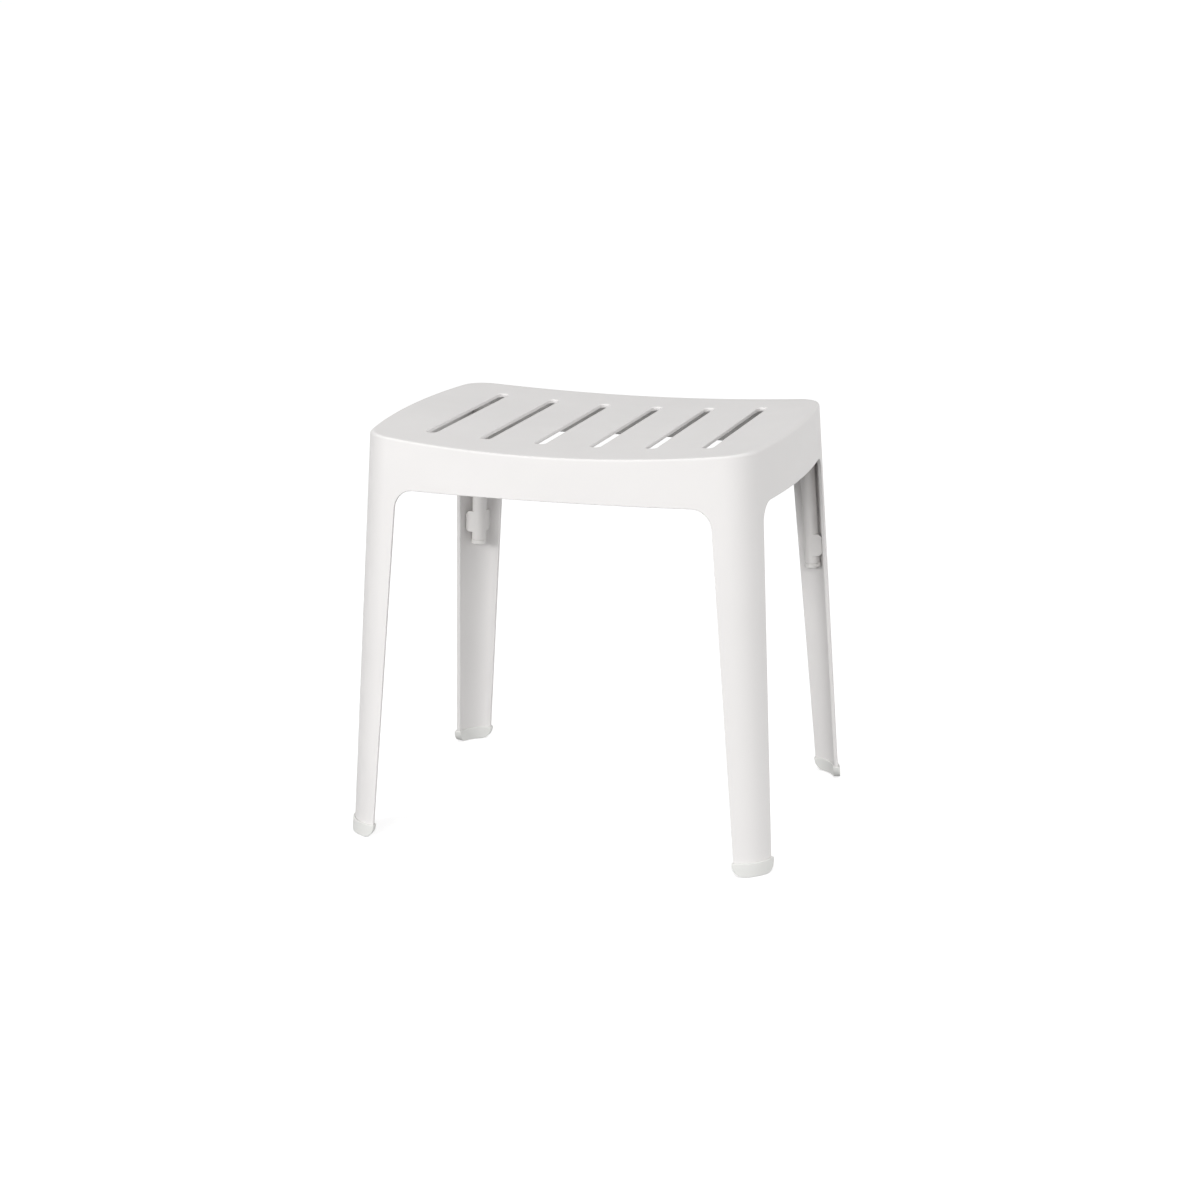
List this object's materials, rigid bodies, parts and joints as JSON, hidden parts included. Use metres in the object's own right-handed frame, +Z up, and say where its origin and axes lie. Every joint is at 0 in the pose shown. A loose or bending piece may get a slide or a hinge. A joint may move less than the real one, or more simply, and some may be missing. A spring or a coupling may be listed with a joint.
{
  "type": "shower stool",
  "caption": "Backless shower stool: saddle seat with long drain slots, deep apron, splayed channel legs with inner stiffening posts and soft foot caps.",
  "frame": {"origin": "on the floor, under the middle of the seat", "axes": "+X to the right along the wide side, +Y to the rear, +Z up"},
  "size_m": [0.4296, 0.3378, 0.4011],
  "materials": {
    "shell_plastic": "matte moulded polypropylene",
    "post_plastic": "matte moulded polypropylene",
    "plug_plastic": "matte moulded polyethylene",
    "cap_rubber": "soft satin elastomer"
  },
  "bodies": {
    "root": {"seat_shell": "shell_plastic", "post_front_left": "post_plastic", "post_front_right": "post_plastic", "post_rear_left": "post_plastic", "post_rear_right": "post_plastic", "end_plug_front_left": "plug_plastic", "end_plug_front_right": "plug_plastic", "end_plug_rear_left": "plug_plastic", "end_plug_rear_right": "plug_plastic", "foot_cap_front_left": "cap_rubber", "foot_cap_front_right": "cap_rubber", "foot_cap_rear_left": "cap_rubber", "foot_cap_rear_right": "cap_rubber"}
  },
  "joints": []
}
